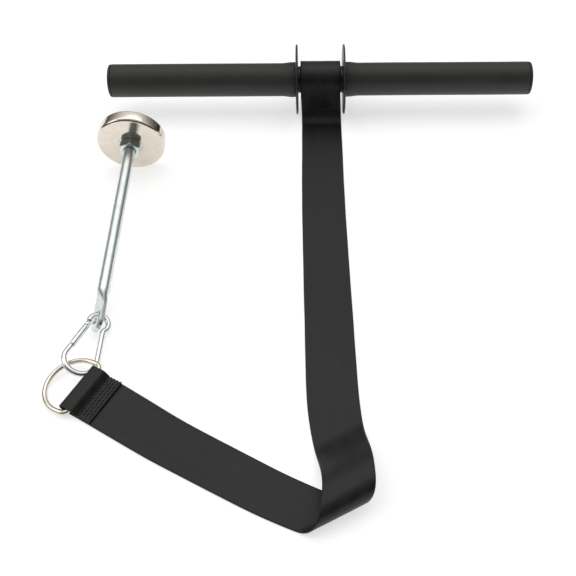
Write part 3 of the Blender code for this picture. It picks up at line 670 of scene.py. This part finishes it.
def make_stitching():
    """Rows of separate stitches across the flap, short threads that dip at their ends."""
    draw = random.Random(7)
    reach = STRAP_W / 2 - STITCH_MARGIN
    start = STRAP_VISIBLE - FLAP_LENGTH
    bm = bmesh.new()
    for r, row in enumerate(ROW_PLACES):
        shift = 0.5 * STITCH_PITCH * (r % 2)
        for k in range(int(2 * reach / STITCH_PITCH)):
            a = -reach + shift + k * STITCH_PITCH + draw.uniform(-0.12, 0.12) * MM
            b = a + STITCH_PITCH * STITCH_SHARE
            if b > reach + STITCH_OVERRUN:
                continue
            skew = draw.uniform(0.15, 0.45) * MM * (1 if k % 2 else -1)
            points = []
            for i in range(STITCH_STEPS + 1):
                f = i / STITCH_STEPS
                lift = STRAP_T / 2 - THREAD_SINK + THREAD_LIFT * sin(pi * f) ** 0.6
                s = start + row + skew * (2 * f - 1)
                points.append(along_strap(s, a + (b - a) * f, lift))
            thread = skin(wire_rings(points, THREAD_R, 8, tapered=True))
            mesh = bpy.data.meshes.new("stitch")
            thread.to_mesh(mesh)
            thread.free()
            bm.from_mesh(mesh)
            bpy.data.meshes.remove(mesh)
    stitches = from_bmesh(bm, "flap_stitching", [THREAD], 60)
    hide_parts("strap_stitching")
    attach(stitches, "strap")
    return stitches


# ---------------------------------------------------------------- the foam grips

GRIP_SWELL = 0.9 * MM
GRIP_BORE_R = 12.8 * MM
GRIP_NECK_R = 13.9 * MM
GRIP_NECK = 7.6 * MM
GRIP_LIP = 1.0 * MM
GRIP_LIP_STEPS = 6
GRIP_FLAT = (2.2 * MM, 3.4 * MM)
GRIP_TAPER = 9.6 * MM
GRIP_TAPER_STEPS = 8
GRIP_STEPS = 60
GRIP_SIDES = 64
FOAM_WAVES = (14.0, 0.7)      # along the grip per metre, and round it
FOAM_DEPTH = 0.12 * MM
FOAM_PLAIN_END = 1.2 * MM


def make_grip(side, name):
    """A foam sleeve: soft lips at both ends, swollen over the flange's neck."""
    low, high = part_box(f"{name}_grip")
    axis = Vector((0, (low[1] + high[1]) / 2, (low[2] + high[2]) / 2))
    near, far = (high[0], low[0]) if side < 0 else (low[0], high[0])
    length = abs(far - near)
    wide = (high[2] - low[2]) / 2
    radius = wide - GRIP_SWELL
    lip = GRIP_LIP

    outer = [(lip * (1 - cos(a)), wide - lip + lip * sin(a)) for a in quarter(GRIP_LIP_STEPS)]
    outer += [(x, wide) for x in GRIP_FLAT]
    for k in range(1, GRIP_TAPER_STEPS + 1):
        f = k / GRIP_TAPER_STEPS
        outer.append((GRIP_FLAT[1] + GRIP_TAPER * f, wide - (wide - radius) * smooth(0, 1, f)))
    start, end = GRIP_FLAT[1] + GRIP_TAPER, length - lip
    outer += [(start + (end - start) * k / GRIP_STEPS, radius)
              for k in range(1, GRIP_STEPS + 1)]
    outer += [(length - lip + lip * sin(a), radius - lip + lip * cos(a))
              for a in quarter(GRIP_LIP_STEPS, 1)]
    inner = [(length, GRIP_BORE_R), (GRIP_NECK, GRIP_BORE_R),
             (GRIP_NECK, GRIP_NECK_R), (0.0, GRIP_NECK_R)]

    def wobble(x, a):
        if not FOAM_PLAIN_END < abs(x - near) < length - FOAM_PLAIN_END:
            return 0.0
        along, round_it = FOAM_WAVES
        place = Vector((x * along, cos(a) * round_it, sin(a) * round_it + side))
        return FOAM_DEPTH * (noise.noise(place) - 0.35)

    rings = turned([(near + side * x, r) for x, r in outer], GRIP_SIDES, wobble)
    rings += turned([(near + side * x, r) for x, r in inner], GRIP_SIDES)
    bm = skin(rings, wrap=True)
    bm.transform(Matrix.Translation(axis))
    grip = from_bmesh(bm, f"{name}_foam_grip", [FOAM], 60)
    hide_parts(f"{name}_grip")
    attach(grip, "bar")
    return grip


# ---------------------------------------------------------------- the metal's shape
# Again the CAD part's own dimensions, so that each smooth piece lies in its node.

RING_WIRE_R = 2 * MM
RING_HALF_W = 22.2 * MM
RING_CORNER = 5 * MM
RING_SIDE = 9 * MM
RING_DEPTH = 30.8 * MM
RING_SLOPE = -0.095
RING_INSET = 3.2 * MM
RING_SKEW = radians(4)
RING_SHIFT = 0.6 * MM
HOOK_WIRE_R = 2.25 * MM
HOOK_BIG_R = 12 * MM
HOOK_SMALL_R = 7.5 * MM
HOOK_SMALL_SIDE = 1 * MM
HOOK_NECK_R = 3 * MM
BOW_START = radians(188)
HOOK_LENGTH = 60.4 * MM
HOOK_LEAN = radians(10.5)
HOOK_LEG = 33 * MM
HOOK_HEADING = radians(79)
HOOK_TILT = radians(26)
HOOK_APEX = Vector((-172.3 * MM, -279 * MM, 7.75 * MM))
GATE_START = 0.8 * MM
GATE_END = 26.2 * MM
GATE_RIVET = 3.8 * MM
GATE_R = 2.35 * MM
GATE_SLOT = 2.0 * MM
GATE_RIM = 0.6 * MM
GATE_FORK = 7 * MM
GATE_CLEAR = 0.8 * MM
GROOVE_FLOOR = 0.35 * MM
TONGUE_T = 1.3 * MM
TONGUE_W = 3.2 * MM
TONGUES = ((GATE_START - 3 * MM, GATE_RIVET + 2 * MM),
           (GATE_END - 3.6 * MM, GATE_END + 3 * MM))
RIVET_R = 0.7 * MM
RIVET_FLAT = GATE_R + 0.1 * MM
RIVET_HEAD = ((0.6 * MM, 0.7 * MM), (0.5 * MM, 1.1 * MM), (0.25 * MM, 1.4 * MM),
              (0.1 * MM, 1.5 * MM), (0.0, 1.5 * MM))     # rise and radius, from the top
ROD_R = 5 * MM
EYE_W = 16.5 * MM
EYE_T = 3.4 * MM
EYE_HOLE_R = 5.5 * MM
EYE_CHAMFER = 0.7 * MM
EYE_TIP = 11.6 * MM
EYE_END = EYE_HOLE_R + 3 * MM
EYE_TAPER = 18 * MM
EYE_SQUARENESS = 0.84
EYE_ROLL = radians(38)
EYE_ON_BOW = radians(20)
EYE_OFFSET = 2.4 * MM
PIN_LENGTH = 187.2 * MM
PIN_HEADING = radians(88.9)
ROD_STEP = 12 * MM
ROD_SIDES = 56
BORE_R = ROD_R + GAP
NUT_ACROSS = 17 * MM
NUT_H = 8 * MM
NUT_SIDES = 120
NUT_LEAD = 0.6 * MM
NUT_CROWN = ((0.0, 0.90), (0.3 * MM, 0.935), (0.7 * MM, 0.968), (1.2 * MM, 0.99),
             (1.7 * MM, 1.0))     # place from the nut's end and share of its corners there
BASE_R = 30 * MM
BASE_T = 12 * MM
BASE_EDGE = 3 * MM
BASE_SEAT_R = 11 * MM
BASE_SPOT_D = 0.3 * MM
BASE_RECESS_R = 22 * MM
BASE_RECESS_D = 1.5 * MM
BASE_RIM = 1.4 * MM
BASE_SIDES = 160
RECESS_SLOPE = 0.6 * MM
THREAD_IN = 9 * MM
HOLE_PAST = 0.6 * MM
HOLE_LEAD = 0.8 * MM
HOLE_CENTRE_R = 0.4 * MM
UP = Vector((0, 0, 1))
WIRE_SIDES = 24
CUT_PAST = 1 * MM             # how far a cutting block reaches past what it cuts


def frame_matrix(origin, x_axis, z_axis):
    """A place whose local X is x_axis and whose local Z is nearest to z_axis."""
    x = x_axis.normalized()
    y = z_axis.cross(x).normalized()
    z = x.cross(y)
    return Matrix.Translation(origin) @ Matrix((x, y, z)).transposed().to_4x4()


def ring_matrix():
    """Local X runs along the D's bar, up the strap's end edge, and Y out to the bow."""
    middle, way, bar, _ = LOOP
    bow = (way + RING_SLOPE * UP).normalized()
    bow = (bow - bar * bow.dot(bar)).normalized()
    place = frame_matrix(middle - RING_INSET * way + RING_SHIFT * bar, bar, bar.cross(bow))
    return place @ Matrix.Rotation(RING_SKEW, 4, "Z")


def hook_matrix():
    """Local Y runs from the big bow to the small one, X to the spine, Z out of its plane."""
    along = Vector((cos(HOOK_HEADING), sin(HOOK_HEADING), 0))
    right = Vector((along.y, -along.x, 0))
    side = right * cos(HOOK_TILT) - UP * sin(HOOK_TILT)
    return frame_matrix(BAR_PLACE + HOOK_APEX, side, side.cross(along))


def hook_points():
    """The small and big bows' centres and the ends of the gate's leg, from the top."""
    small = Vector((HOOK_SMALL_SIDE, -HOOK_SMALL_R, 0))
    big = Vector((0, HOOK_BIG_R + 2 * HOOK_WIRE_R - HOOK_LENGTH, 0))
    bottom = big + HOOK_BIG_R * Vector((-cos(HOOK_LEAN), sin(HOOK_LEAN), 0))
    top = bottom + HOOK_LEG * Vector((sin(HOOK_LEAN), cos(HOOK_LEAN), 0))
    return small, big, top, bottom


def neck_centre(small, big):
    """The bend between the small bow and the spine curves about this point."""
    out = Vector((cos(HOOK_LEAN), sin(HOOK_LEAN), 0))
    up = Vector((-out.y, out.x, 0))
    start = big + (HOOK_BIG_R + HOOK_NECK_R) * out
    reach = HOOK_SMALL_R + HOOK_NECK_R
    along = (small - start).dot(up)
    off_square = (small - start).length_squared - along * along
    return start + (along - sqrt(reach * reach - off_square)) * up


def bend(centre, radius, start, end, steps):
    """Points round a bend, from one angle to another."""
    angles = [start + (end - start) * i / steps for i in range(steps + 1)]
    return [centre + radius * Vector((cos(a), sin(a), 0)) for a in angles]


def leg_place(distance):
    """A place on the gate's leg: its point, and the leg's way towards the big bow."""
    _, _, top, bottom = hook_points()
    way = (bottom - top).normalized()
    return top + distance * way, way


def leg_turn():
    """Columns: along the leg, across it in the hook's plane, and out of the plane."""
    _, way = leg_place(0)
    return Matrix((way, UP.cross(way), UP)).transposed()


def pin_matrix():
    """Local X runs from the eye to the base; local Z is the normal of the eye's face."""
    small = hook_points()[0]
    out = Vector((-sin(EYE_ON_BOW), cos(EYE_ON_BOW), 0))
    hang = hook_matrix() @ (small + HOOK_SMALL_R * out)
    rise = 0.1     # a first guess: each pass brings the base's lower edge nearer the table
    for _ in range(20):
        low = hang.z - EYE_OFFSET * sin(rise)
        rise = asin((BASE_R * cos(rise) - low) / PIN_LENGTH)
    plan = Vector((cos(PIN_HEADING), sin(PIN_HEADING), 0))
    along = plan * cos(rise) + UP * sin(rise)
    left = Vector((-plan.y, plan.x, 0))
    face = left * cos(EYE_ROLL) + UP * sin(EYE_ROLL)
    return frame_matrix(hang - EYE_OFFSET * along, along, face)


def boolean(obj, bm, operation):
    """Join or cut obj with the solid in bm, both in obj's own points."""
    bm.normal_update()
    bmesh.ops.recalc_face_normals(bm, faces=bm.faces)
    mesh = bpy.data.meshes.new("tool")
    bm.to_mesh(mesh)
    bm.free()
    tool = bpy.data.objects.new("tool", mesh)
    bpy.context.collection.objects.link(tool)
    modifier = obj.modifiers.new("boolean", "BOOLEAN")
    modifier.operation = operation
    modifier.solver = "EXACT"
    modifier.object = tool
    graph = bpy.context.evaluated_depsgraph_get()
    result = bpy.data.meshes.new_from_object(obj.evaluated_get(graph))
    obj.modifiers.clear()
    obj.data = result
    bpy.data.objects.remove(tool, do_unlink=True)


def block(centre, size, turn=None):
    """A bmesh of a box, for joining or cutting."""
    bm = bmesh.new()
    place = Matrix.Translation(centre)
    if turn is not None:
        place = place @ turn.to_4x4()
    bmesh.ops.create_cube(bm, size=1.0, matrix=place @ Matrix.Diagonal((*size, 1.0)))
    return bm


def settle(obj, matrix, body, nodes, smooth_angle=30):
    """Bake the piece's place into its mesh, smooth it, and hand it to its body."""
    obj.data.transform(matrix)
    obj.data.update()
    obj.data.shade_smooth()
    obj.data.set_sharp_from_angle(angle=radians(smooth_angle))
    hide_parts(*nodes)
    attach(obj, body)
    return obj


def make_ring():
    """The D-ring: a straight bar, two rounded corners, short sides and the bow."""
    w, c = RING_HALF_W, RING_CORNER
    rise = RING_DEPTH - RING_SIDE
    corner = quarter(10)[:-1]
    points = [Vector((-(w - c) + 2 * (w - c) * i / 20, 0, 0)) for i in range(20)]
    points += [Vector((w - c, c, 0)) + c * Vector((sin(a), -cos(a), 0)) for a in corner]
    points += [Vector((w, c + (RING_SIDE - c) * i / 3, 0)) for i in range(3)]
    points += [Vector((w * cos(a), RING_SIDE + rise * sin(a), 0))
               for a in (pi * i / 72 for i in range(73))]
    points += [Vector((-w, RING_SIDE - (RING_SIDE - c) * i / 3, 0)) for i in range(1, 3)]
    points += [Vector((-(w - c), c, 0)) + c * Vector((-cos(a), -sin(a), 0)) for a in corner]
    rings = wire_rings(points, RING_WIRE_R, WIRE_SIDES, closed=True)
    ring = from_bmesh(skin(rings, wrap=True), "dee_ring", [NICKEL])
    settle(ring, ring_matrix(), "ring", ["d_ring"])


def make_hook_wire():
    """One bent wire with a flat tongue at each end."""
    small, big = hook_points()[:2]
    neck = neck_centre(small, big)
    meet = atan2(neck.y - small.y, neck.x - small.x)
    points = bend(small, HOOK_SMALL_R, BOW_START, meet, 56)
    points += bend(neck, HOOK_NECK_R, meet + pi, HOOK_LEAN + pi, 8)[1:]
    spine_start = points[-1]
    spine_end = big + HOOK_BIG_R * Vector((cos(HOOK_LEAN), sin(HOOK_LEAN), 0))
    points += [spine_start.lerp(spine_end, i / 12) for i in range(1, 12)]
    points += bend(big, HOOK_BIG_R, HOOK_LEAN, -pi - HOOK_LEAN, 64)
    points.append(leg_place(GATE_END + GATE_CLEAR)[0])
    rings = wire_rings(points, HOOK_WIRE_R, WIRE_SIDES)
    wire = from_bmesh(skin(rings), "snap_hook_wire", [HOOK_ZINC])
    for start, end in TONGUES:
        middle, _ = leg_place((start + end) / 2)
        tongue = block(middle, (end - start, TONGUE_W, TONGUE_T), leg_turn())
        boolean(wire, tongue, "UNION")
    settle(wire, hook_matrix(), "hook", ["hook_body"])


def make_gate():
    """The gate: a rounded bar, forked at both ends and grooved along its inner side."""
    start, end = leg_place(GATE_START)[0], leg_place(GATE_END)[0]
    half = (end - start).length / 2
    place = hook_matrix() @ Matrix.Translation((start + end) / 2) @ leg_turn().to_4x4()
    rim = GATE_RIM
    profile = [(-half + rim * (1 - sin(a)), GATE_R - rim * (1 - cos(a)))
               for a in quarter(4)]
    profile = profile[::-1] + [(-x, r) for x, r in profile]
    gate = from_bmesh(skin(turned(profile, 40)), "snap_hook_gate", [HOOK_ZINC])
    reach = 4 * GATE_R
    fork_size = (GATE_FORK + 2 * CUT_PAST, reach, GATE_SLOT + 0.1 * MM)
    for side in (-1, 1):
        fork_middle = Vector((side * (half - GATE_FORK / 2 + CUT_PAST), 0, 0))
        boolean(gate, block(fork_middle, fork_size), "DIFFERENCE")
    groove_middle = Vector((0, reach / 2 - GROOVE_FLOOR, 0))
    groove = block(groove_middle, (2 * half - GATE_FORK, reach, GATE_SLOT))
    boolean(gate, groove, "DIFFERENCE")
    settle(gate, place, "gate", ["hook_gate"])


def make_rivet():
    """The rivet that the gate turns on, with a low domed head at both ends."""
    centre, _ = leg_place(GATE_RIVET)
    half = [(-RIVET_FLAT - rise, r) for rise, r in RIVET_HEAD] + [(-RIVET_FLAT, RIVET_R)]
    profile = half + [(-x, r) for x, r in reversed(half)]
    rivet = from_bmesh(skin(turned(profile, 32)), "gate_pin", [HOOK_ZINC])
    place = hook_matrix() @ Matrix.Translation(centre) @ Matrix.Rotation(-pi / 2, 4, "Y")
    settle(rivet, place, "gate", ["gate_rivet"])


def rod_places():
    """Places along the rod, close together round the tip and where the eye tapers."""
    places = [-EYE_TIP + EYE_W / 2 * (1 - cos(radians(a))) for a in range(8, 91, 4)]
    places += [EYE_END * i / 10 for i in range(10) if EYE_END * i / 10 > places[-1]]
    places += [EYE_END + EYE_TAPER * i / 24 for i in range(25)]
    places += [EYE_END + EYE_TAPER + ROD_STEP * i for i in range(1, 14)]
    return places + [PIN_LENGTH + THREAD_IN]


def rod_ring(x):
    """The rod's section at x: round, or nearly a rounded rectangle on the eye."""
    flatness = 1 - smooth(EYE_END, EYE_END + EYE_TAPER, x)
    half_w = ROD_R + (EYE_W / 2 - ROD_R) * flatness
    half_t = ROD_R + (EYE_T / 2 - ROD_R) * flatness ** 0.6
    tip = x + EYE_TIP
    if tip < EYE_W / 2:
        half_w = sqrt(EYE_W * tip - tip * tip)
    power = 1 - EYE_SQUARENESS * flatness
    ring = []
    for i in range(ROD_SIDES):
        a = 2 * pi * (i + 0.5) / ROD_SIDES
        c, s = cos(a), sin(a)
        y = half_w * abs(c) ** power * (1 if c > 0 else -1)
        z = half_t * abs(s) ** power * (1 if s > 0 else -1)
        ring.append(Vector((x, y, z)))
    return ring


def make_rod(matrix):
    """The rod with its flattened, bored end."""
    rod = from_bmesh(skin([rod_ring(x) for x in rod_places()]), "pin_rod", [ZINC])
    face, wide = EYE_T / 2, EYE_HOLE_R + EYE_CHAMFER
    half = [(face - EYE_CHAMFER, EYE_HOLE_R), (face + EYE_CHAMFER, wide + EYE_CHAMFER)]
    hole = skin(turned([(-x, r) for x, r in reversed(half)] + half, 64))
    hole.transform(Matrix.Rotation(-pi / 2, 4, "Y"))
    boolean(rod, hole, "DIFFERENCE")
    settle(rod, matrix, "pin", ["eye_rod"])


def make_nut(matrix):
    """A hexagonal nut whose corners are turned down at both ends."""
    end = PIN_LENGTH + BASE_SPOT_D - GAP
    start = end - NUT_H
    flat = NUT_ACROSS / 2
    corner = flat / cos(pi / 6)
    stack = [(start + x, share) for x, share in NUT_CROWN]
    stack += [(end - x, share) for x, share in reversed(NUT_CROWN)]
    rings = []
    for x, share in stack:
        ring = []
        for a in circle(NUT_SIDES):
            from_flat = (a + pi / 6) % (pi / 3) - pi / 6
            reach = min(flat / cos(from_flat), corner * share)
            ring.append(Vector((x, reach * cos(a), reach * sin(a))))
        rings.append(ring)
    lead = NUT_LEAD
    rings += turned(((end, BORE_R + lead), (end - lead, BORE_R),
                     (start + lead, BORE_R), (start, BORE_R + lead)), NUT_SIDES)
    nut = from_bmesh(skin(rings, wrap=True), "pin_nut", [ZINC])
    settle(nut, matrix, "pin", ["lock_nut"], 22)


def make_base(matrix):
    """The round base: a spot-faced threaded hole, rounded rims and a shallow recess."""
    low, high = PIN_LENGTH, PIN_LENGTH + BASE_T
    seat = low + BASE_SPOT_D
    floor = PIN_LENGTH + THREAD_IN + HOLE_PAST
    edge, rim = BASE_EDGE, BASE_RIM
    profile = [(floor, HOLE_CENTRE_R), (floor, BORE_R), (seat + HOLE_LEAD, BORE_R),
               (seat, BORE_R + HOLE_LEAD), (seat, BASE_SEAT_R - BASE_SPOT_D),
               (low, BASE_SEAT_R)]
    profile += [(low + edge * (1 - cos(a)), BASE_R - edge + edge * sin(a))
                for a in quarter(12)]
    profile += [(high - rim * (1 - sin(a)), BASE_R - rim * (1 - cos(a)))
                for a in quarter(8)]
    profile += [(high, BASE_RECESS_R + RECESS_SLOPE), (high - BASE_RECESS_D, BASE_RECESS_R),
                (high - BASE_RECESS_D, HOLE_CENTRE_R)]
    base = from_bmesh(skin(turned(profile, BASE_SIDES)), "pin_base", [NICKEL])
    settle(base, matrix, "pin", ["base_disc"], 40)


# ---------------------------------------------------------------- studio

CAMERA_PLACE = Vector((-7.8 * MM, -522.7 * MM, 525.3 * MM))
CAMERA_DOWN = radians(46.84)
CAMERA_TURN = radians(0.7)
LENS = 56.0
SENSOR = 36.0
SHIFT_X = -0.0556
FLOOR_REACH = 3.0
FLOOR_DROP = 0.2 * MM
BACKDROP = (0.93, 0.93, 0.93)
DOME_STOPS = ((0.0, 0.16), (0.12, 0.10), (0.42, 0.34), (0.60, 0.66), (0.78, 1.02), (1.0, 0.92))
DOME_BLUE = 0.99
DOME_DEPTH = {"From Min": -0.75, "From Max": 0.45, "To Min": 0.28, "To Max": 1.0}


def make_camera():
    data = bpy.data.cameras.new("camera")
    data.lens = LENS
    data.sensor_width = SENSOR
    data.shift_x = SHIFT_X
    data.clip_start = 0.01
    camera = bpy.data.objects.new("camera", data)
    bpy.context.collection.objects.link(camera)
    camera.location = CAMERA_PLACE
    camera.rotation_euler = (pi / 2 - CAMERA_DOWN, 0.0, -CAMERA_TURN)
    bpy.context.scene.camera = camera


def make_floor():
    bm = bmesh.new()
    bmesh.ops.create_grid(bm, x_segments=24, y_segments=24, size=FLOOR_REACH)
    for vert in bm.verts:
        vert.co.z = -FLOOR_DROP
    floor = from_bmesh(bm, "studio_floor", [floor_material()])


def area_light(name, place, aim, size, power):
    data = bpy.data.lights.new(name, "AREA")
    data.shape = "RECTANGLE"
    data.size, data.size_y = size
    data.energy = power
    light = bpy.data.objects.new(name, data)
    bpy.context.collection.objects.link(light)
    light.location = place
    light.rotation_euler = (Vector(aim) - Vector(place)).to_track_quat("-Z", "Y").to_euler()


def make_world():
    """A white dome over a dark horizon, darker to the front, and a plain pale backdrop.

    The polished metal reflects the dome; the camera itself sees only the backdrop.
    """
    world = bpy.data.worlds.new("studio")
    bpy.context.scene.world = world
    world.use_nodes = True
    tree = world.node_tree
    tree.nodes.clear()

    def add(kind):
        return tree.nodes.new("ShaderNode" + kind)

    way = add("SeparateXYZ")
    tree.links.new(add("TexCoord").outputs["Generated"], way.inputs[0])
    ramp = add("ValToRGB")
    fill_ramp(ramp, [(place, (v, v, v * DOME_BLUE)) for place, v in DOME_STOPS])
    tree.links.new(way.outputs["Z"], ramp.inputs["Fac"])
    depth = add("MapRange")
    depth.interpolation_type = "SMOOTHSTEP"
    for key, value in DOME_DEPTH.items():
        depth.inputs[key].default_value = value
    tree.links.new(way.outputs["Y"], depth.inputs["Value"])
    shade = add("MixRGB")
    shade.blend_type = "MULTIPLY"
    shade.inputs["Fac"].default_value = 1.0
    tree.links.new(ramp.outputs["Color"], shade.inputs["Color1"])
    tree.links.new(depth.outputs["Result"], shade.inputs["Color2"])
    dome = add("Background")
    tree.links.new(shade.outputs["Color"], dome.inputs["Color"])
    backdrop = add("Background")
    backdrop.inputs["Color"].default_value = (*BACKDROP, 1.0)
    mix = add("MixShader")
    tree.links.new(add("LightPath").outputs["Is Camera Ray"], mix.inputs["Fac"])
    tree.links.new(dome.outputs[0], mix.inputs[1])
    tree.links.new(backdrop.outputs[0], mix.inputs[2])
    tree.links.new(mix.outputs[0], add("OutputWorld").inputs["Surface"])


def make_studio():
    make_floor()
    make_world()
    area_light("overhead", (-0.1, 0.55, 1.6), (0.0, 0.0, 0.0), (2.0, 1.4), 6.5)
    area_light("left_fill", (-1.3, -0.2, 0.9), (-0.1, 0.0, 0.0), (0.8, 0.8), 2.5)
    scene = bpy.context.scene
    scene.view_settings.view_transform = "Standard"
    scene.view_settings.look = "None"


# ---------------------------------------------------------------- everything

make_camera()
dress_cad_nodes()
strap_piece = make_strap()
turns_piece = make_turns()
stitch_piece = make_stitching()
for grip_side, grip_name in ((-1, "left"), (1, "right")):
    make_grip(grip_side, grip_name)
make_ring()
make_hook_wire()
make_gate()
make_rivet()
for make_piece in (make_rod, make_nut, make_base):
    make_piece(pin_matrix())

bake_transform(strap_piece)
make_studio()
